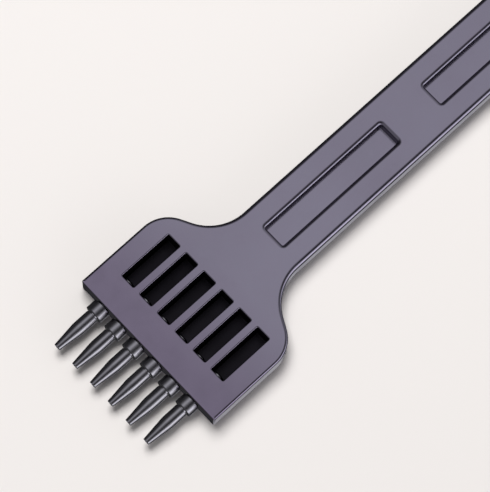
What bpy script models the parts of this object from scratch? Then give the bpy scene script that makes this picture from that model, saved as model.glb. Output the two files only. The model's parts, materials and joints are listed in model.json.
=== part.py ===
"""Pricking iron for leather: a flat blackened steel body with a row of screw-in round punches.

Units are metres. X runs across the tool and Y along it: the punches point to -Y and the
struck end faces +Y. Z points up, out of the face that carries the windows and the two
handle panels. The origin is at the middle of the whole tool's footprint, on the plane of
its flat back, and every punch's own origin is on its axis, at the seat under its collar.
"""

import math

import bmesh
import bpy

MM = 0.001

# Punch row
PUNCH_COUNT = 6
PITCH = 5.0 * MM

# Punch: a turned tube with a threaded shank behind its collar
SHANK_DIAMETER = 3.0 * MM
SHANK_CHAMFER = 0.3 * MM
SHANK_PROUD = 0.6 * MM  # how far the shank stands out of the front bar, into its window
COLLAR_LEDGE = 0.5 * MM  # how far the collar stands out past the shank, all round
COLLAR_LENGTH = 2.25 * MM
COLLAR_CHAMFER = 0.12 * MM
GROOVE_DEPTH = 0.3 * MM  # below the tube's surface
GROOVE_LENGTH = 0.28 * MM
TUBE_DIAMETER = 2.8 * MM
TUBE_LENGTH = 3.7 * MM  # the straight part, up to where the taper would start
TAPER_LENGTH = 5.35 * MM
TAPER_BLEND_RADIUS = 7.0 * MM
TIP_DIAMETER = 1.5 * MM
TIP_WALL = 0.17 * MM
TIP_LAND = 2.0 * MM  # length of the narrow bore behind the cutting edge
WASTE_BORE_DIAMETER = 1.5 * MM

# Fits
SEAT_GAP = 0.25 * MM  # between a collar and the front face
THREAD_CLEARANCE = 0.05 * MM  # radial, between a shank and its hole
WINDOW_SIDE_GAP = 0.1 * MM  # between a shank's end and each side of its window
WINDOW_FLOOR_GAP = 0.2 * MM  # between a shank's end and the floor of its window

# Head of the body
THICKNESS = 4.6 * MM
HEAD_SIDE_MARGIN = 6.1 * MM  # from the outer punch's axis to the side of the head
HEAD_SIDE_LENGTH = 16.25 * MM  # the straight side, from the front face to the shoulder
FRONT_BAR = 6.42 * MM  # from the front face to the windows
WINDOW_LENGTH = 12.1 * MM
WINDOW_CORNER_RADIUS = 0.25 * MM
FRONT_CORNER_RADIUS = 0.4 * MM

# Shoulder and handle
SHOULDER_RADIUS = 7.0 * MM
NECK_RADIUS = 10.0 * MM
SHOULDER_STRAIGHT = 2.2 * MM  # the straight between the two arcs
HANDLE_WIDTH = 15.24 * MM
STRUCK_CORNER_RADIUS = 2.0 * MM

# Recessed panels along the handle
PANEL_COUNT = 2
PANEL_LENGTH = 31.0 * MM
PANEL_WIDTH = 4.8 * MM
PANEL_DEPTH = 2.0 * MM
PANEL_LIP_RADIUS = 0.95 * MM
PANEL_CORNER_RADIUS = 0.3 * MM
PANEL_SETBACK = 0.95 * MM  # from the end of the neck to the first panel
PANEL_GAP = 11.8 * MM
PANEL_END_MARGIN = 11.5 * MM

# Rounded outer edges: nearly sharp at the front face, and softest where the hand holds the tool
FRONT_EDGE_RADIUS = 0.13 * MM
HEAD_EDGE_RADIUS = 0.6 * MM
HANDLE_EDGE_RADIUS = 1.0 * MM

# How finely curves are cut
EDGE_STEPS = 3
CORNER_STEPS = 4
SHOULDER_STEPS = 10
LIP_STEPS = 3
BLEND_STEPS = 3
TURNED_SEGMENTS = 24
OVERCUT = 1.0 * MM

# Worked out from the sizes above
SHANK_RADIUS = SHANK_DIAMETER / 2
COLLAR_RADIUS = SHANK_RADIUS + COLLAR_LEDGE
TUBE_RADIUS = TUBE_DIAMETER / 2
TIP_RADIUS = TIP_DIAMETER / 2
COLLAR_TO_TIP = COLLAR_LENGTH + GROOVE_LENGTH + TUBE_LENGTH + TAPER_LENGTH
SHANK_LENGTH = SEAT_GAP + FRONT_BAR + SHANK_PROUD

HEAD_WIDTH = (PUNCH_COUNT - 1) * PITCH + 2 * HEAD_SIDE_MARGIN
PUNCH_AXIS_Z = THICKNESS / 2
WINDOW_WIDTH = SHANK_DIAMETER + 2 * WINDOW_SIDE_GAP
WINDOW_FLOOR_Z = PUNCH_AXIS_Z - SHANK_RADIUS - WINDOW_FLOOR_GAP

# The slope at which the shoulder's two arcs and their straight make up the step in width
STEP_IN_WIDTH = (HEAD_WIDTH - HANDLE_WIDTH) / 2
ARCS = SHOULDER_RADIUS + NECK_RADIUS
SHOULDER_SLOPE = math.acos((ARCS - STEP_IN_WIDTH) / math.hypot(ARCS, SHOULDER_STRAIGHT)) - math.atan2(
    SHOULDER_STRAIGHT, ARCS
)
SHOULDER_RUN = ARCS * math.sin(SHOULDER_SLOPE) + SHOULDER_STRAIGHT * math.cos(SHOULDER_SLOPE)
NECK_END = HEAD_SIDE_LENGTH + SHOULDER_RUN
PANEL_STEP = PANEL_LENGTH + PANEL_GAP
FIRST_PANEL = NECK_END + PANEL_SETBACK
BODY_LENGTH = FIRST_PANEL + (PANEL_COUNT - 1) * PANEL_STEP + PANEL_LENGTH + PANEL_END_MARGIN

TOOL_LENGTH = SEAT_GAP + COLLAR_TO_TIP + BODY_LENGTH
FRONT_Y = SEAT_GAP + COLLAR_TO_TIP - TOOL_LENGTH / 2


def clear_scene():
    """Remove whatever the open file holds."""
    for found in list(bpy.data.objects):
        bpy.data.objects.remove(found, do_unlink=True)


def metal(name, colour, roughness):
    """A plain metallic finish."""
    material = bpy.data.materials.new(name)
    material.use_nodes = True
    shader = material.node_tree.nodes["Principled BSDF"]
    shader.inputs["Base Color"].default_value = (*colour, 1.0)
    shader.inputs["Metallic"].default_value = 1.0
    shader.inputs["Roughness"].default_value = roughness
    return material


def mesh_from(bm, name, material=None):
    """Close a bmesh into a smooth shaded mesh whose faces point out."""
    bmesh.ops.recalc_face_normals(bm, faces=bm.faces[:])
    mesh = bpy.data.meshes.new(name)
    bm.to_mesh(mesh)
    bm.free()
    mesh.shade_smooth()
    mesh.set_sharp_from_angle(angle=math.radians(32))
    if material:
        mesh.materials.append(material)
    return mesh


def place(mesh, name):
    """An object of this mesh, linked to the scene."""
    placed = bpy.data.objects.new(name, mesh)
    bpy.context.scene.collection.objects.link(placed)
    return placed


def arc(centre_x, centre_y, radius, start, end, steps):
    """Points and outward normals along an arc; a negative radius makes a hollow one."""
    points = []
    for step in range(steps + 1):
        angle = start + (end - start) * step / steps
        normal_x, normal_y = math.cos(angle), math.sin(angle)
        points.append((centre_x + radius * normal_x, centre_y + radius * normal_y, normal_x, normal_y))
    return points


def mirrored(points):
    """The same outline stretch on the other side of the tool, walked the other way."""
    return [(-x, y, -normal_x, normal_y) for x, y, normal_x, normal_y in reversed(points)]


def body_outline():
    """The body seen from above, anticlockwise from the front edge's right corner."""
    quarter = math.pi / 2
    front_corner = arc(
        HEAD_WIDTH / 2 - FRONT_CORNER_RADIUS,
        FRONT_Y + FRONT_CORNER_RADIUS,
        FRONT_CORNER_RADIUS,
        -quarter,
        0.0,
        CORNER_STEPS,
    )
    shoulder = arc(
        HEAD_WIDTH / 2 - SHOULDER_RADIUS,
        FRONT_Y + HEAD_SIDE_LENGTH,
        SHOULDER_RADIUS,
        0.0,
        SHOULDER_SLOPE,
        SHOULDER_STEPS,
    )
    neck = arc(
        HANDLE_WIDTH / 2 + NECK_RADIUS,
        FRONT_Y + NECK_END,
        -NECK_RADIUS,
        SHOULDER_SLOPE,
        0.0,
        SHOULDER_STEPS,
    )
    struck_corner = arc(
        HANDLE_WIDTH / 2 - STRUCK_CORNER_RADIUS,
        FRONT_Y + BODY_LENGTH - STRUCK_CORNER_RADIUS,
        STRUCK_CORNER_RADIUS,
        0.0,
        quarter,
        CORNER_STEPS,
    )
    right = front_corner + shoulder + neck + struck_corner
    return right + mirrored(right)


def edge_radius(y, normal_y):
    """The outer edge's radius, which grows round the front corners and along the shoulder."""
    along_shoulder = (y - FRONT_Y - HEAD_SIDE_LENGTH) / SHOULDER_RUN
    along_shoulder = min(max(along_shoulder, 0.0), 1.0)
    facing_front = max(-normal_y, 0.0)
    radius = HEAD_EDGE_RADIUS + (HANDLE_EDGE_RADIUS - HEAD_EDGE_RADIUS) * along_shoulder
    return radius + (FRONT_EDGE_RADIUS - radius) * facing_front


def box_outline(centre_x, start_y, width, length, corner_radius):
    """A rectangle with round corners, anticlockwise, starting at start_y."""
    points = []
    reach_x = width / 2 - corner_radius
    reach_y = length / 2 - corner_radius
    centre_y = start_y + length / 2
    for turn, (side_x, side_y) in enumerate(((1, -1), (1, 1), (-1, 1), (-1, -1))):
        start = (turn - 1) * math.pi / 2
        corner = (centre_x + side_x * reach_x, centre_y + side_y * reach_y)
        points += arc(*corner, corner_radius, start, start + math.pi / 2, CORNER_STEPS)
    return points


def stack(bm, outline, radii, levels):
    """Join rings of an outline into a closed solid.

    Each level is (inset, rise, z): the ring is drawn in by inset and lifted from z by rise,
    both as multiples of the edge radius at each point.
    """
    rings = []
    for inset, rise, level_z in levels:
        ring = []
        for (x, y, normal_x, normal_y), radius in zip(outline, radii):
            inwards = inset * radius
            place_at = (x - normal_x * inwards, y - normal_y * inwards, level_z + rise * radius)
            ring.append(bm.verts.new(place_at))
        rings.append(ring)
    count = len(outline)
    for lower, upper in zip(rings, rings[1:]):
        for here in range(count):
            after = (here + 1) % count
            bm.faces.new((lower[here], lower[after], upper[after], upper[here]))
    bm.faces.new(reversed(rings[0]))
    bm.faces.new(rings[-1])


def quarter_turn(steps):
    """Angles from 0 to a right angle."""
    return [math.pi / 2 * step / steps for step in range(steps + 1)]


def body_blank():
    """The body before its windows, panels and holes are cut."""
    outline = body_outline()
    radii = [edge_radius(y, normal_y) for _, y, _, normal_y in outline]
    back = [(1 - math.sin(a), 1 - math.cos(a), 0.0) for a in quarter_turn(EDGE_STEPS)]
    face = [(inset, -rise, THICKNESS) for inset, rise, _ in reversed(back)]
    bm = bmesh.new()
    stack(bm, outline, radii, back + face)
    return bm


def punch_x(index):
    """Where a punch, and its window, stand across the head."""
    return (index - (PUNCH_COUNT - 1) / 2) * PITCH


def window_cutter():
    """The pockets behind the punches, where each punch's waste comes out."""
    bm = bmesh.new()
    levels = [(0.0, 0.0, WINDOW_FLOOR_Z), (0.0, 0.0, THICKNESS + OVERCUT)]
    for index in range(PUNCH_COUNT):
        outline = box_outline(
            punch_x(index), FRONT_Y + FRONT_BAR, WINDOW_WIDTH, WINDOW_LENGTH, WINDOW_CORNER_RADIUS
        )
        stack(bm, outline, [0.0] * len(outline), levels)
    return bm


def panel_cutter():
    """The long shallow recesses in the handle, with a rounded lip."""
    bm = bmesh.new()
    lip = [(math.cos(a) - 1, math.sin(a) - 1, THICKNESS) for a in quarter_turn(LIP_STEPS)]
    levels = [(0.0, 0.0, THICKNESS - PANEL_DEPTH)] + lip + [(-1.0, 0.0, THICKNESS + OVERCUT)]
    for index in range(PANEL_COUNT):
        start_y = FRONT_Y + FIRST_PANEL + index * PANEL_STEP
        outline = box_outline(0.0, start_y, PANEL_WIDTH, PANEL_LENGTH, PANEL_CORNER_RADIUS)
        stack(bm, outline, [PANEL_LIP_RADIUS] * len(outline), levels)
    return bm


def hole_cutter():
    """The holes through the front bar that the shanks screw into."""
    bm = bmesh.new()
    radius = SHANK_RADIUS + THREAD_CLEARANCE
    start_y = FRONT_Y - OVERCUT
    end_y = FRONT_Y + FRONT_BAR + OVERCUT
    for index in range(PUNCH_COUNT):
        turned(bm, [(0.0, start_y), (radius, start_y), (radius, end_y), (0.0, end_y)], punch_x(index))
    return bm


def turned(bm, profile, axis_x=0.0, axis_z=PUNCH_AXIS_Z):
    """Turn a profile of (radius, y) points about an axis along Y; points at radius 0 close it."""
    rings = []
    for radius, y in profile:
        if radius == 0.0:
            rings.append([bm.verts.new((axis_x, y, axis_z))] * TURNED_SEGMENTS)
            continue
        ring = []
        for segment in range(TURNED_SEGMENTS):
            angle = 2 * math.pi * segment / TURNED_SEGMENTS
            ring.append(bm.verts.new((axis_x + radius * math.cos(angle), y, axis_z + radius * math.sin(angle))))
        rings.append(ring)
    closed = profile[0][0] > 0.0
    pairs = list(zip(rings, rings[1:])) + ([(rings[-1], rings[0])] if closed else [])
    for first, second in pairs:
        for here in range(TURNED_SEGMENTS):
            after = (here + 1) % TURNED_SEGMENTS
            corners = dict.fromkeys((first[here], first[after], second[after], second[here]))
            bm.faces.new(tuple(corners))


def cut(body, cutter_bm, name):
    """Cut a shape out of the body, which keeps its cutter as a guide."""
    cutter = place(mesh_from(cutter_bm, name), name)
    cutter.hide_render = True
    cutter.display_type = "WIRE"
    boolean = body.modifiers.new(name, "BOOLEAN")
    boolean.operation = "DIFFERENCE"
    boolean.solver = "EXACT"
    boolean.object = cutter


def build_body():
    """The one-piece steel body: head, neck and handle."""
    finish = metal("blackened_steel", (0.24, 0.224, 0.284), 0.28)
    body = place(mesh_from(body_blank(), "iron_body", finish), "iron_body")
    cut(body, window_cutter(), "window_cutter")
    cut(body, panel_cutter(), "panel_cutter")
    cut(body, hole_cutter(), "hole_cutter")
    return body


def taper_blend(start):
    """The soft shoulder where the straight tube runs into its taper, as (radius, reach) points."""
    slope = math.atan2(TUBE_RADIUS - TIP_RADIUS, TAPER_LENGTH)
    tangent = TAPER_BLEND_RADIUS * math.tan(slope / 2)
    points = []
    for step in range(BLEND_STEPS + 1):
        angle = slope * step / BLEND_STEPS
        radius = TUBE_RADIUS - TAPER_BLEND_RADIUS * (1 - math.cos(angle))
        points.append((radius, start - tangent + TAPER_BLEND_RADIUS * math.sin(angle)))
    return points


def punch_profile():
    """One punch as (radius, reach) points, reach being the distance ahead of its seat.

    It runs from the shank's end along the outside to the tip, then back through the bore.
    """
    groove_end = COLLAR_LENGTH + GROOVE_LENGTH
    land_end = COLLAR_TO_TIP - TIP_LAND
    tip_bore = TIP_RADIUS - TIP_WALL
    waste_bore = WASTE_BORE_DIAMETER / 2
    return [
        (SHANK_RADIUS - SHANK_CHAMFER, -SHANK_LENGTH),
        (SHANK_RADIUS, SHANK_CHAMFER - SHANK_LENGTH),
        (SHANK_RADIUS, 0.0),
        (COLLAR_RADIUS - COLLAR_CHAMFER, 0.0),
        (COLLAR_RADIUS, COLLAR_CHAMFER),
        (COLLAR_RADIUS, COLLAR_LENGTH - COLLAR_CHAMFER),
        (COLLAR_RADIUS - COLLAR_CHAMFER, COLLAR_LENGTH),
        (TUBE_RADIUS - GROOVE_DEPTH, COLLAR_LENGTH),
        (TUBE_RADIUS - GROOVE_DEPTH, groove_end),
        (TUBE_RADIUS, groove_end),
        *taper_blend(groove_end + TUBE_LENGTH),
        (TIP_RADIUS, COLLAR_TO_TIP),
        (tip_bore, COLLAR_TO_TIP),
        (tip_bore, land_end),
        (waste_bore, land_end - (waste_bore - tip_bore)),
        (waste_bore, -SHANK_LENGTH),
    ]


def build_punches():
    """The row of punches, each an object of its own on its own axis."""
    bm = bmesh.new()
    turned(bm, [(radius, -reach) for radius, reach in punch_profile()], axis_z=0.0)
    mesh = mesh_from(bm, "punch", metal("hardened_steel", (0.29, 0.283, 0.31), 0.25))
    for index in range(PUNCH_COUNT):
        punch = place(mesh, f"punch_{index + 1}")
        punch.location = (punch_x(index), FRONT_Y - SEAT_GAP, PUNCH_AXIS_Z)


clear_scene()
build_body()
build_punches()
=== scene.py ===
"""The looks of a pricking iron for leather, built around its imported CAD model.

The blackened steel body and the six screw-in round punches are remade here as fine meshes
that stand for the CAD solids: true radii on every edge, milled pockets, cut threads and
turned punches. Units are metres, in the CAD model's own frame: X across the tool, Y along
it with the punches towards -Y, and Z up out of the face that carries the windows.
"""

import json
import math

import bmesh
import bpy
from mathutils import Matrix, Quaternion, Vector

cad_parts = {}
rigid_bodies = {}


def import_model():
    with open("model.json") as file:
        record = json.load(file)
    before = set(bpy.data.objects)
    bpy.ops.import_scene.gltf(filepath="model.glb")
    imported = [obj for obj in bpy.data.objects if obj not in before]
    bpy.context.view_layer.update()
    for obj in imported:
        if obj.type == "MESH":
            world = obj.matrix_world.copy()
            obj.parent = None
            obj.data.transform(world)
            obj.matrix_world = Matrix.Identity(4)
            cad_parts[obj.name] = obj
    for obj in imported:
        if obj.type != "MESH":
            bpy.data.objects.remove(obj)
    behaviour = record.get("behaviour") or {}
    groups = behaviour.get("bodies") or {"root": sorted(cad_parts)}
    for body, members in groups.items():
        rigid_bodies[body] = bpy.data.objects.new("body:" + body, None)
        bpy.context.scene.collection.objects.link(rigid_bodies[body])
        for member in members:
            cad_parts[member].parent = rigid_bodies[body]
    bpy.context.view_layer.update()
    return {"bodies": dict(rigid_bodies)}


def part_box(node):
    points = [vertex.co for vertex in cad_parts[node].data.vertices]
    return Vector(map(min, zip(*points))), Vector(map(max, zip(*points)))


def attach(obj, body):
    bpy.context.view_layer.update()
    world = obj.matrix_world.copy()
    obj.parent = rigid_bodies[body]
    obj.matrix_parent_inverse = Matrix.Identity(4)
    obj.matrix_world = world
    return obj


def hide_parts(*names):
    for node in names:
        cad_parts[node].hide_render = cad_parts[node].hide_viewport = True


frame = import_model()

MM = 0.001
QUARTER = math.pi / 2

# Read off the frame
BODY_LOW, BODY_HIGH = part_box("iron_body")
PUNCH_NAMES = sorted(name for name in frame["bodies"] if name.startswith("punch_"))
PUNCH_BOXES = [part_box(name) for name in PUNCH_NAMES]
PUNCH_AXES = [(low.x + high.x) / 2 for low, high in PUNCH_BOXES]
PUNCH_AXIS_Z = (PUNCH_BOXES[0][0].z + PUNCH_BOXES[0][1].z) / 2
TIP_Y = PUNCH_BOXES[0][0].y
SHANK_END_Y = PUNCH_BOXES[0][1].y
COLLAR_RADIUS = (PUNCH_BOXES[0][1].x - PUNCH_BOXES[0][0].x) / 2
HEAD_WIDTH = BODY_HIGH.x - BODY_LOW.x
FACE_Z = BODY_HIGH.z
FRONT_Y = BODY_LOW.y
STRUCK_Y = BODY_HIGH.y

# Body, as in the CAD model
HEAD_SIDE_LENGTH = 16.25 * MM
SHOULDER_RADIUS = 7.0 * MM
NECK_RADIUS = 10.0 * MM
SHOULDER_STRAIGHT = 2.2 * MM
HANDLE_WIDTH = 15.24 * MM
FRONT_CORNER_RADIUS = 0.4 * MM
STRUCK_CORNER_RADIUS = 2.0 * MM
FRONT_EDGE_RADIUS = 0.13 * MM
HEAD_EDGE_RADIUS = 0.6 * MM
HANDLE_EDGE_RADIUS = 1.0 * MM
FRONT_BAR = 6.42 * MM
WINDOW_LENGTH = 12.1 * MM
WINDOW_WIDTH = 3.2 * MM
WINDOW_CORNER_RADIUS = 0.25 * MM
WINDOW_FLOOR_Z = 0.6 * MM
PANEL_COUNT = 2
PANEL_LENGTH = 31.0 * MM
PANEL_WIDTH = 4.8 * MM
PANEL_DEPTH = 2.0 * MM
PANEL_CORNER_RADIUS = 0.3 * MM
PANEL_LIP_RADIUS = 0.95 * MM
PANEL_SETBACK = 0.95 * MM
PANEL_GAP = 11.8 * MM

# Body, finer than the CAD model
WINDOW_LIP_RADIUS = 0.28 * MM
POCKET_FLOOR_RADIUS = 0.25 * MM
HOLE_RADIUS = 1.55 * MM
HOLE_MOUTH = 0.2 * MM  # how far the hole's countersink opens out, and how deep it is
BODY_SHARP_ANGLE = math.radians(35)

# Punch, as in the CAD model
SEAT_GAP = 0.25 * MM
SHANK_RADIUS = 1.5 * MM
SHANK_CHAMFER = 0.3 * MM
COLLAR_LENGTH = 2.25 * MM
GROOVE_LENGTH = 0.28 * MM
GROOVE_DEPTH = 0.3 * MM
TUBE_RADIUS = 1.4 * MM
TUBE_LENGTH = 3.7 * MM
TAPER_BLEND_RADIUS = 7.0 * MM
TIP_RADIUS = 0.75 * MM
TIP_WALL = 0.17 * MM
TIP_LAND = 2.0 * MM
WASTE_BORE_RADIUS = 0.75 * MM

# Punch, finer than the CAD model
BORE_MOUTH_FILLET = 0.06 * MM
BORE_MOUTH_REACH = 0.5 * MM  # how far inside the bore the punch's outline starts
SHANK_FILLET = 0.05 * MM
RELIEF_TOP_FILLET = 0.04 * MM
RELIEF_ROOT_FILLET = 0.06 * MM
SEAT_FILLET = 0.1 * MM
COLLAR_FILLET = 0.12 * MM
GROOVE_FILLET = 0.04 * MM
TUBE_FILLET = 0.07 * MM
TIP_FILLET = 0.03 * MM
TIP_BORE_FILLET = 0.05 * MM
BORE_STEP = 0.2 * MM  # the cone between the land's narrow bore and the wide one
PUNCH_SHARP_ANGLE = math.radians(50)

# Thread, on the shanks and in their holes
THREAD_PITCH = 0.5 * MM
THREAD_DEPTH = 0.26 * MM
THREAD_FADE = 0.4 * MM  # the stretch in which it runs out at each end
THREAD_RELIEF = 0.75 * MM  # the plain undercut behind the collar
RELIEF_SLOPE = 0.2 * MM  # length of the undercut's slope, and of the plain shank before the thread
THREAD_MARGIN = 0.1 * MM  # between the thread and the chamfer on the shank's end

# Steel: how many features of each noise there are to the metre
CLOUD_SCALE = 38.0
MOTTLE_SCALE = 260.0
GRAIN_SCALE = 9000.0
LATHE_SCALE = 700.0
LATHE_STRETCH = (1.0, 14.0, 1.0)  # squeezes the turning marks along the axis

# The middle bands of one noise, and of two added up
NOISE_BAND = (0.35, 0.65)
TONE_BAND = (0.75, 1.25)

# The stretch of the head in which the painted shade at the front fades out, from the front face
FRONT_SHADE_START = 4.0 * MM
FRONT_SHADE_END = 22.0 * MM

# A colour mix node's sockets
MIX_FIRST = 6
MIX_SECOND = 7
MIX_RESULT = 2

# How finely curves are cut
OUTLINE_STEP = math.radians(3)
EDGE_STEPS = 8
CORNER_STEPS = 8
FILLET_STEP = math.radians(12)
STRAIGHT_ENOUGH = math.radians(1)  # a turn below this gets no fillet
PUNCH_SEGMENTS = 72
HOLE_SEGMENTS = 48
THREAD_ROWS = 10  # for each turn
OVERCUT = 1.0 * MM
WIDEST_FACE_ONLY = 100  # the weighted normal modifier's strongest weight

SEAT_Y = FRONT_Y - SEAT_GAP

# The slope at which the shoulder's two arcs and their straight make up the step in width
STEP_IN_WIDTH = (HEAD_WIDTH - HANDLE_WIDTH) / 2
ARCS = SHOULDER_RADIUS + NECK_RADIUS
SHOULDER_SLOPE = math.acos((ARCS - STEP_IN_WIDTH) / math.hypot(ARCS, SHOULDER_STRAIGHT)) - math.atan2(
    SHOULDER_STRAIGHT, ARCS
)
SHOULDER_RUN = ARCS * math.sin(SHOULDER_SLOPE) + SHOULDER_STRAIGHT * math.cos(SHOULDER_SLOPE)
NECK_Y = FRONT_Y + HEAD_SIDE_LENGTH + SHOULDER_RUN


# ---------------------------------------------------------------- materials


def node(tree, kind, inputs=None, **settings):
    """Add a shader node, with its settings and its inputs' values or links."""
    made = tree.nodes.new(kind)
    for name, value in settings.items():
        setattr(made, name, value)
    for name, value in (inputs or {}).items():
        if isinstance(value, bpy.types.NodeSocket):
            tree.links.new(value, made.inputs[name])
        else:
            made.inputs[name].default_value = value
    return made


def maths(tree, operation, *values):
    """A maths node's result."""
    return node(tree, "ShaderNodeMath", dict(enumerate(values)), operation=operation).outputs[0]


def noise(tree, coordinates, scale, detail=2.0, roughness=0.5):
    """A noise of so many features to the metre, as a number socket."""
    inputs = {"Vector": coordinates, "Scale": scale, "Detail": detail, "Roughness": roughness}
    return node(tree, "ShaderNodeTexNoise", inputs).outputs["Fac"]


def ranged(tree, value, band, low, high):
    """Stretch a band (start, end) of the value to run from low to high."""
    inputs = {"Value": value, "From Min": band[0], "From Max": band[1], "To Min": low, "To Max": high}
    return node(tree, "ShaderNodeMapRange", inputs).outputs["Result"]


def between(tree, factor, first, second):
    """A colour between two others, each given as numbers or as a socket."""
    inputs = {"Factor": factor}
    for socket, colour in ((MIX_FIRST, first), (MIX_SECOND, second)):
        inputs[socket] = colour if isinstance(colour, bpy.types.NodeSocket) else (*colour, 1.0)
    return node(tree, "ShaderNodeMix", inputs, data_type="RGBA").outputs[MIX_RESULT]


def steel(name, dark, light, roughness, grain, lathe=False, front=None):
    """Dark metal: mottled oxide, a satin that varies, and fine grain in the surface.

    dark and light are the two tones of the oxide, roughness its (least, most), grain the
    depth of the grain, lathe draws that grain out into turning marks about Y, and front is
    a painted shade: the darker tone at the front face, which fades out along the head.
    """
    material = bpy.data.materials.new(name)
    material.use_nodes = True
    tree = material.node_tree
    shader = tree.nodes["Principled BSDF"]
    position = node(tree, "ShaderNodeTexCoord").outputs["Object"]
    mottle = noise(tree, position, MOTTLE_SCALE, detail=3.0, roughness=0.55)
    cloud = noise(tree, position, CLOUD_SCALE)
    if lathe:
        inputs = {"Vector": position, "Scale": LATHE_STRETCH}
        drawn = node(tree, "ShaderNodeMapping", inputs).outputs["Vector"]
        fine = noise(tree, drawn, LATHE_SCALE)
    else:
        fine = noise(tree, position, GRAIN_SCALE)
    tone = maths(tree, "ADD", mottle, cloud)
    colour = between(tree, ranged(tree, tone, TONE_BAND, 0.0, 1.0), dark, light)
    # Painted shade: the front of the head is made darker, fading out along the head
    if front:
        along = node(tree, "ShaderNodeSeparateXYZ", {"Vector": position}).outputs["Y"]
        front_shade_band = (FRONT_Y + FRONT_SHADE_START, FRONT_Y + FRONT_SHADE_END)
        colour = between(tree, ranged(tree, along, front_shade_band, 0.0, 1.0), front, colour)
    tree.links.new(colour, shader.inputs["Base Color"])
    tree.links.new(ranged(tree, mottle, NOISE_BAND, *roughness), shader.inputs["Roughness"])
    shader.inputs["Metallic"].default_value = 1.0
    bump = node(tree, "ShaderNodeBump", {"Height": fine, "Strength": 1.0, "Distance": grain})
    tree.links.new(bump.outputs["Normal"], shader.inputs["Normal"])
    return material


BODY_STEEL = steel(
    "blackened_steel",
    dark=(0.231, 0.211, 0.273),
    light=(0.260, 0.242, 0.311),
    roughness=(0.17, 0.23),
    grain=0.0006 * MM,
    # painted shade: a darker tone at the front of the head
    front=(0.190, 0.162, 0.226),
)
# Painted shade: a much darker copy of the steel, put in the deep windows and the tapped holes where
# shade falls
POCKET_SHADE = steel(
    "pocket_painted_shade",
    dark=(0.020, 0.018, 0.023),
    light=(0.034, 0.031, 0.038),
    roughness=(0.42, 0.55),
    grain=0.004 * MM,
)
PUNCH_STEEL = steel(
    "hardened_steel",
    dark=(0.274, 0.267, 0.297),
    light=(0.319, 0.312, 0.342),
    roughness=(0.21, 0.27),
    grain=0.0006 * MM,
    lathe=True,
)


# ---------------------------------------------------------------- mesh tools


def place_mesh(bm, name, materials):
    """A smooth shaded object of this bmesh, linked to the scene."""
    bmesh.ops.recalc_face_normals(bm, faces=bm.faces[:])
    mesh = bpy.data.meshes.new(name)
    bm.to_mesh(mesh)
    bm.free()
    for material in materials:
        mesh.materials.append(material)
    mesh.shade_smooth()
    placed = bpy.data.objects.new(name, mesh)
    bpy.context.scene.collection.objects.link(placed)
    return placed


def keep_flats_flat(piece):
    """Give each vertex its widest face's normal, so that the flats beside a rounded edge stay flat."""
    weighted = piece.modifiers.new("flats", "WEIGHTED_NORMAL")
    weighted.mode = "FACE_AREA"
    weighted.weight = WIDEST_FACE_ONLY
    weighted.keep_sharp = True


def arc(centre_x, centre_y, radius, start, end, steps=None):
    """Points and outward normals along an arc; a negative radius makes a hollow one."""
    steps = steps or max(2, math.ceil(abs(end - start) / OUTLINE_STEP))
    points = []
    for step in range(steps + 1):
        angle = start + (end - start) * step / steps
        normal_x, normal_y = math.cos(angle), math.sin(angle)
        points.append((centre_x + radius * normal_x, centre_y + radius * normal_y, normal_x, normal_y))
    return points


def quarter_turn(steps=EDGE_STEPS):
    """Angles from 0 to a right angle."""
    return [QUARTER * step / steps for step in range(steps + 1)]


def stack(bm, rings, materials=None):
    """Join rings of points into a closed solid; materials gives each band's index."""
    materials = materials or [0] * (len(rings) - 1)
    loops = [[bm.verts.new(point) for point in ring] for ring in rings]
    count = len(loops[0])
    for band, (lower, upper) in enumerate(zip(loops, loops[1:])):
        for here in range(count):
            after = (here + 1) % count
            face = bm.faces.new((lower[here], lower[after], upper[after], upper[here]))
            face.material_index = materials[band]
    bm.faces.new(reversed(loops[0])).material_index = materials[0]
    bm.faces.new(loops[-1]).material_index = materials[-1]


def rounded(corners):
    """Round an open line's corners (radius, y, fillet); those with no fillet stay as they are."""
    line = [corners[0][:2]]
    for before, (x, y, *fillet), after in zip(corners, corners[1:], corners[2:]):
        corner = Vector((x, y))
        towards = (Vector(before[:2]) - corner).normalized()
        onwards = (Vector(after[:2]) - corner).normalized()
        opening = towards.angle(onwards)
        turn = math.pi - opening
        if not fillet or turn < STRAIGHT_ENOUGH:
            line.append((x, y))
            continue
        reach = fillet[0] / math.tan(opening / 2)
        middle = corner + (towards + onwards).normalized() * (fillet[0] / math.sin(opening / 2))
        start = corner + towards * reach - middle
        side = 1.0 if towards.cross(onwards) < 0.0 else -1.0
        steps = max(2, math.ceil(turn / FILLET_STEP))
        for step in range(steps + 1):
            angle = side * turn * step / steps
            point_x = middle.x + start.x * math.cos(angle) - start.y * math.sin(angle)
            point_y = middle.y + start.x * math.sin(angle) + start.y * math.cos(angle)
            line.append((point_x, point_y))
    line.append(corners[-1][:2])
    return line


def threaded(radius, depth, start, end):
    """Rows (radius, y, thread depth) of a thread from start to end, which runs out at both."""
    rows = []
    count = math.ceil(abs(end - start) / THREAD_PITCH * THREAD_ROWS)
    for row in range(count + 1):
        y = start + (end - start) * row / count
        fade = min(abs(y - start), abs(end - y)) / THREAD_FADE
        rows.append((radius, y, depth * min(1.0, fade)))
    return rows


def turned(profile, centre, segments):
    """The rings of a line of (radius, y) or (radius, y, thread depth) points, turned about Y."""
    rings = []
    for radius, y, *depth in profile:
        ring = []
        for segment in range(segments):
            angle = 2 * math.pi * segment / segments
            phase = y / THREAD_PITCH - segment / segments
            cut_in = depth[0] * (0.5 - 0.5 * math.cos(2 * math.pi * phase)) if depth else 0.0
            reach = radius + cut_in
            across = centre.x + reach * math.cos(angle)
            ring.append((across, centre.y + y, centre.z + reach * math.sin(angle)))
        rings.append(ring)
    return rings


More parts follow.
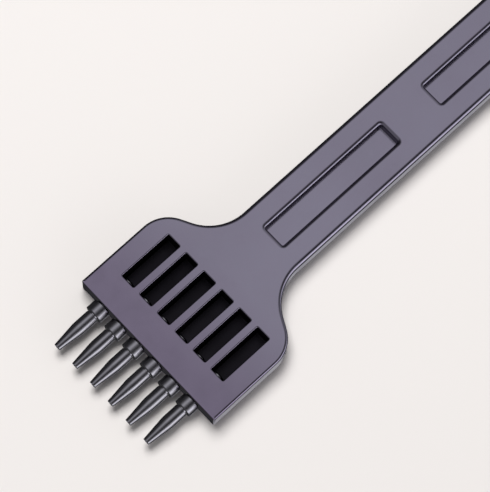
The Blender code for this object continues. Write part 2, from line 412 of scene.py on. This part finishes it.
def join_round(bm, rings):
    """Join rings, the last to the first, into a closed tube."""
    loops = [[bm.verts.new(point) for point in ring] for ring in rings]
    count = len(loops[0])
    for first, second in zip(loops, loops[1:] + loops[:1]):
        for here in range(count):
            after = (here + 1) % count
            bm.faces.new((first[here], first[after], second[after], second[here]))


# ---------------------------------------------------------------- body


def body_outline():
    """The body seen from above, anticlockwise from the front edge's right corner."""
    front_corner = arc(
        HEAD_WIDTH / 2 - FRONT_CORNER_RADIUS,
        FRONT_Y + FRONT_CORNER_RADIUS,
        FRONT_CORNER_RADIUS,
        -QUARTER,
        0.0,
        CORNER_STEPS,
    )
    shoulder = arc(
        HEAD_WIDTH / 2 - SHOULDER_RADIUS,
        FRONT_Y + HEAD_SIDE_LENGTH,
        SHOULDER_RADIUS,
        0.0,
        SHOULDER_SLOPE,
    )
    neck = arc(HANDLE_WIDTH / 2 + NECK_RADIUS, NECK_Y, -NECK_RADIUS, SHOULDER_SLOPE, 0.0)
    struck_corner = arc(
        HANDLE_WIDTH / 2 - STRUCK_CORNER_RADIUS,
        STRUCK_Y - STRUCK_CORNER_RADIUS,
        STRUCK_CORNER_RADIUS,
        0.0,
        QUARTER,
    )
    right = front_corner + shoulder + neck + struck_corner
    return right + [(-x, y, -normal_x, normal_y) for x, y, normal_x, normal_y in reversed(right)]


def edge_radius(y, normal_y):
    """The outer edge's radius, which grows round the front corners and along the shoulder."""
    along_shoulder = (y - FRONT_Y - HEAD_SIDE_LENGTH) / SHOULDER_RUN
    along_shoulder = min(max(along_shoulder, 0.0), 1.0)
    facing_front = max(-normal_y, 0.0)
    radius = HEAD_EDGE_RADIUS + (HANDLE_EDGE_RADIUS - HEAD_EDGE_RADIUS) * along_shoulder
    return radius + (FRONT_EDGE_RADIUS - radius) * facing_front


def blank_ring(outline, angle, from_face):
    """One ring of the blank's rounded edge, on the back's side or the face's."""
    ring = []
    for x, y, normal_x, normal_y in outline:
        radius = edge_radius(y, normal_y)
        inset = radius * (1 - math.sin(angle))
        rise = radius * (1 - math.cos(angle))
        z = FACE_Z - rise if from_face else rise
        ring.append((x - normal_x * inset, y - normal_y * inset, z))
    return ring


def pocket_outline(centre_x, start_y, width, length, corner_radius):
    """A rectangle with round corners, anticlockwise, starting at start_y."""
    points = []
    for quadrant, (side_x, side_y) in enumerate(((1, -1), (1, 1), (-1, 1), (-1, -1))):
        corner_x = centre_x + side_x * (width / 2 - corner_radius)
        corner_y = start_y + length / 2 + side_y * (length / 2 - corner_radius)
        start = (quadrant - 1) * QUARTER
        points += arc(corner_x, corner_y, corner_radius, start, start + QUARTER, CORNER_STEPS)
    return points


def pocket(bm, outline, floor_z, lip_radius):
    """Add a cutter for a milled pocket: a small radius round its floor, and a rounded lip.

    The floor and the walls take the cutter's second material, and the lip takes its first.
    """
    levels = []
    for angle in quarter_turn():
        inset = POCKET_FLOOR_RADIUS * (1 - math.sin(angle))
        levels.append((inset, floor_z + POCKET_FLOOR_RADIUS * (1 - math.cos(angle))))
    floor_bands = len(levels)
    for angle in quarter_turn():
        inset = -lip_radius * (1 - math.cos(angle))
        levels.append((inset, FACE_Z - lip_radius * (1 - math.sin(angle))))
    levels.append((-lip_radius, FACE_Z + OVERCUT))
    rings = []
    for inset, z in levels:
        ring = [(x - normal_x * inset, y - normal_y * inset, z) for x, y, normal_x, normal_y in outline]
        rings.append(ring)
    bands = [1] * floor_bands + [0] * (len(levels) - 1 - floor_bands)
    stack(bm, rings, bands)


def window_cutter():
    """The pockets behind the punches."""
    bm = bmesh.new()
    start_y = FRONT_Y + FRONT_BAR
    for axis_x in PUNCH_AXES:
        outline = pocket_outline(axis_x, start_y, WINDOW_WIDTH, WINDOW_LENGTH, WINDOW_CORNER_RADIUS)
        pocket(bm, outline, WINDOW_FLOOR_Z, WINDOW_LIP_RADIUS)
    # The windows' floors and walls take the painted shade
    return place_mesh(bm, "window_cutter", [BODY_STEEL, POCKET_SHADE])


def panel_cutter():
    """The long shallow recesses in the handle."""
    bm = bmesh.new()
    for index in range(PANEL_COUNT):
        start_y = NECK_Y + PANEL_SETBACK + index * (PANEL_LENGTH + PANEL_GAP)
        outline = pocket_outline(0.0, start_y, PANEL_WIDTH, PANEL_LENGTH, PANEL_CORNER_RADIUS)
        pocket(bm, outline, FACE_Z - PANEL_DEPTH, PANEL_LIP_RADIUS)
    return place_mesh(bm, "panel_cutter", [BODY_STEEL, BODY_STEEL])


def hole_cutter():
    """The tapped holes through the front bar."""
    bm = bmesh.new()
    mouth = HOLE_RADIUS + HOLE_MOUTH
    profile = [(mouth, -OVERCUT), (mouth, 0.0), (HOLE_RADIUS, HOLE_MOUTH)]
    profile += threaded(HOLE_RADIUS, THREAD_DEPTH, 2 * HOLE_MOUTH, FRONT_BAR - 2 * HOLE_MOUTH)
    profile += [(HOLE_RADIUS, FRONT_BAR + OVERCUT)]
    for axis_x in PUNCH_AXES:
        stack(bm, turned(profile, Vector((axis_x, FRONT_Y, PUNCH_AXIS_Z)), HOLE_SEGMENTS))
    # The holes take the painted shade too
    return place_mesh(bm, "hole_cutter", [POCKET_SHADE])


def cut(piece, cutter):
    """Cut a shape out of the piece for good, taking the cutter's finish with it."""
    boolean = piece.modifiers.new(cutter.name, "BOOLEAN")
    boolean.operation = "DIFFERENCE"
    boolean.solver = "EXACT"
    boolean.material_mode = "TRANSFER"
    boolean.object = cutter
    depsgraph = bpy.context.evaluated_depsgraph_get()
    result = bpy.data.meshes.new_from_object(piece.evaluated_get(depsgraph), depsgraph=depsgraph)
    piece.modifiers.clear()
    piece.data = result
    bpy.data.objects.remove(cutter, do_unlink=True)


def build_body():
    """The one-piece steel body: head, neck and handle."""
    bm = bmesh.new()
    outline = body_outline()
    rings = [blank_ring(outline, angle, False) for angle in quarter_turn()]
    rings += [blank_ring(outline, angle, True) for angle in reversed(quarter_turn())]
    stack(bm, rings)
    body = place_mesh(bm, "steel_body", [BODY_STEEL])
    for cutter in (window_cutter(), panel_cutter(), hole_cutter()):
        cut(body, cutter)
    body.data.shade_smooth()
    body.data.set_sharp_from_angle(angle=BODY_SHARP_ANGLE)
    keep_flats_flat(body)
    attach(body, "iron")
    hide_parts("iron_body")


# ---------------------------------------------------------------- punches


def punch_profile():
    """One punch as a closed line of (radius, y) points about its seat, y running to the tip at -Y."""
    tip = SEAT_Y - TIP_Y
    tip_bore = TIP_RADIUS - TIP_WALL
    groove = TUBE_RADIUS - GROOVE_DEPTH
    groove_end = COLLAR_LENGTH + GROOVE_LENGTH
    shank_end = SHANK_END_Y - SEAT_Y
    thread_root = SHANK_RADIUS - THREAD_DEPTH
    thread_start = THREAD_RELIEF + RELIEF_SLOPE
    thread_end = shank_end - SHANK_CHAMFER - THREAD_MARGIN
    shank = [
        (WASTE_BORE_RADIUS, shank_end - BORE_MOUTH_REACH),
        (WASTE_BORE_RADIUS, shank_end, BORE_MOUTH_FILLET),
        (SHANK_RADIUS - SHANK_CHAMFER, shank_end, SHANK_FILLET),
        (SHANK_RADIUS, shank_end - SHANK_CHAMFER, SHANK_FILLET),
        (SHANK_RADIUS, thread_end),
    ]
    front = [
        (SHANK_RADIUS, thread_start),
        (SHANK_RADIUS, THREAD_RELIEF, RELIEF_TOP_FILLET),
        (thread_root, THREAD_RELIEF - RELIEF_SLOPE, RELIEF_ROOT_FILLET),
        (thread_root, 0.0, SEAT_FILLET),
        (COLLAR_RADIUS, 0.0, COLLAR_FILLET),
        (COLLAR_RADIUS, -COLLAR_LENGTH, COLLAR_FILLET),
        (groove, -COLLAR_LENGTH, GROOVE_FILLET),
        (groove, -groove_end, GROOVE_FILLET),
        (TUBE_RADIUS, -groove_end, TUBE_FILLET),
        (TUBE_RADIUS, -groove_end - TUBE_LENGTH, TAPER_BLEND_RADIUS),
        (TIP_RADIUS, -tip, TIP_FILLET),
        (tip_bore, -tip, TIP_BORE_FILLET),
        (tip_bore, TIP_LAND - tip),
        (WASTE_BORE_RADIUS, TIP_LAND - tip + BORE_STEP),
    ]
    thread = threaded(SHANK_RADIUS, -THREAD_DEPTH, thread_end, thread_start)
    return rounded(shank)[:-1] + thread + rounded(front)[1:]


def build_punches():
    """The row of punches, each screwed in to a stop of its own."""
    bm = bmesh.new()
    join_round(bm, turned(punch_profile(), Vector(), PUNCH_SEGMENTS))
    first = place_mesh(bm, "round_punch", [PUNCH_STEEL])
    mesh = first.data
    bpy.data.objects.remove(first)
    mesh.set_sharp_from_angle(angle=PUNCH_SHARP_ANGLE)
    for index, (name, axis_x) in enumerate(zip(PUNCH_NAMES, PUNCH_AXES)):
        punch = bpy.data.objects.new(name.replace("punch", "round_punch"), mesh)
        bpy.context.scene.collection.objects.link(punch)
        punch.location = (axis_x, SEAT_Y, PUNCH_AXIS_Z)
        punch.rotation_euler.y = QUARTER * index
        keep_flats_flat(punch)
        punch.visible_glossy = False
        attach(punch, name)
        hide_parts(name)


# ---------------------------------------------------------------- studio

CAMERA_FROM_FRONT = Vector((84.7, -74.58, 461.6)) * MM
CAMERA_AIM_FROM_FRONT = Vector((-2.4, 27.72, 0.0)) * MM
CAMERA_ROLL = math.radians(6.58)
CAMERA_LENS = 183.0
CAMERA_SENSOR = 36.0
CAMERA_CLIP = (0.01, 20.0)
KEY_PLACE = Vector((-0.50, 0.20, 1.10))
KEY_SIZE = (0.7, 0.7)
KEY_POWER = 15.0
SKY_COLOUR = (0.97, 0.97, 1.0)
SKY_LEVEL = 0.05
FLOOR_COLOUR = (0.80, 0.765, 0.74)
FLOOR_ROUGHNESS = 0.8
FLOOR_GLOSS = 0.2
FLOOR_REACH = 4.0  # from the middle of the floor to each side
FLOOR_DROP = 0.02 * MM

# The sky's soft lights: peak, then where it is and how far it spreads across the tool (tilt
# from overhead towards +X) and along it (towards +Y), in degrees
SKY_LIGHTS = {
    "overhead": (0.87, -13.0, 18.0, 12.0, 30.0),
    "right": (2.35, 84.0, 16.5, 5.0, 45.0),
    "below": (0.62, 172.0, 10.0, 12.0, 40.0),
    "behind": (0.35, 0.0, 60.0, 66.0, 17.0),
    "ahead": (0.35, 0.0, 60.0, -62.0, 17.0),
}


def build_camera():
    """The camera looks down on the tool from its punch end."""
    data = bpy.data.cameras.new("camera")
    data.lens = CAMERA_LENS
    data.sensor_width = CAMERA_SENSOR
    data.clip_start, data.clip_end = CAMERA_CLIP
    camera = bpy.data.objects.new("camera", data)
    bpy.context.scene.collection.objects.link(camera)
    camera.location = Vector((0.0, FRONT_Y, FACE_Z)) + CAMERA_FROM_FRONT
    level = (CAMERA_AIM_FROM_FRONT - CAMERA_FROM_FRONT).to_track_quat("-Z", "Y")
    camera.rotation_mode = "QUATERNION"
    camera.rotation_quaternion = level @ Quaternion((0.0, 0.0, 1.0), CAMERA_ROLL)
    bpy.context.scene.camera = camera


def lobe(tree, tilts, peak, across, across_spread, along, along_spread):
    """A soft light in the sky, centred at these tilts in degrees.

    The spreads are the distances, also in degrees, at which it is down to a half.
    """
    total = 0.0
    for tilt, centre, spread in zip(tilts, (across, along), (across_spread, along_spread)):
        away = maths(tree, "SUBTRACT", tilt, math.radians(centre))
        share = maths(tree, "DIVIDE", away, math.radians(spread))
        total = maths(tree, "ADD", maths(tree, "MULTIPLY", share, share), total)
    return maths(tree, "MULTIPLY", maths(tree, "POWER", 0.5, total), peak)


def build_sky():
    """A dim studio with soft lights.

    A broad one overhead and a bright one low on the right give the steel its sheen, and a dim
    one from under the right lights its side walls. Two low ones, in front and behind, keep the
    steel from looking black in other views.
    """
    world = bpy.data.worlds.new("studio")
    bpy.context.scene.world = world
    world.use_nodes = True
    tree = world.node_tree
    direction = node(tree, "ShaderNodeTexCoord").outputs["Generated"]
    x, y, z = node(tree, "ShaderNodeSeparateXYZ", {"Vector": direction}).outputs
    tilts = (maths(tree, "ARCTAN2", x, z), maths(tree, "ARCSINE", y))
    level = SKY_LEVEL
    for light in SKY_LIGHTS.values():
        level = maths(tree, "ADD", level, lobe(tree, tilts, *light))
    background = tree.nodes["Background"]
    background.inputs["Color"].default_value = (*SKY_COLOUR, 1.0)
    tree.links.new(level, background.inputs["Strength"])


def build_key():
    """A soft key from the left, which lights the floor and isn't mirrored in the metal."""
    data = bpy.data.lights.new("key_left", "AREA")
    data.shape = "RECTANGLE"
    data.size, data.size_y = KEY_SIZE
    data.energy = KEY_POWER
    light = bpy.data.objects.new("key_left", data)
    bpy.context.scene.collection.objects.link(light)
    light.location = KEY_PLACE
    light.rotation_mode = "QUATERNION"
    light.rotation_quaternion = (-KEY_PLACE).to_track_quat("-Z", "Y")
    light.visible_camera = False
    light.visible_glossy = False


def floor_finish():
    """A plain pale matte finish."""
    material = bpy.data.materials.new("pale_floor")
    material.use_nodes = True
    shader = material.node_tree.nodes["Principled BSDF"]
    shader.inputs["Base Color"].default_value = (*FLOOR_COLOUR, 1.0)
    shader.inputs["Roughness"].default_value = FLOOR_ROUGHNESS
    shader.inputs["Specular IOR Level"].default_value = FLOOR_GLOSS
    return material


def build_floor():
    """A plain pale floor, just under the tool's flat back."""
    bm = bmesh.new()
    bmesh.ops.create_grid(bm, x_segments=1, y_segments=1, size=FLOOR_REACH)
    floor = place_mesh(bm, "floor", [floor_finish()])
    floor.location.z = -FLOOR_DROP
    floor.visible_glossy = False


bpy.context.scene.view_settings.view_transform = "Standard"
build_camera()
build_body()
build_punches()
build_sky()
build_key()
build_floor()
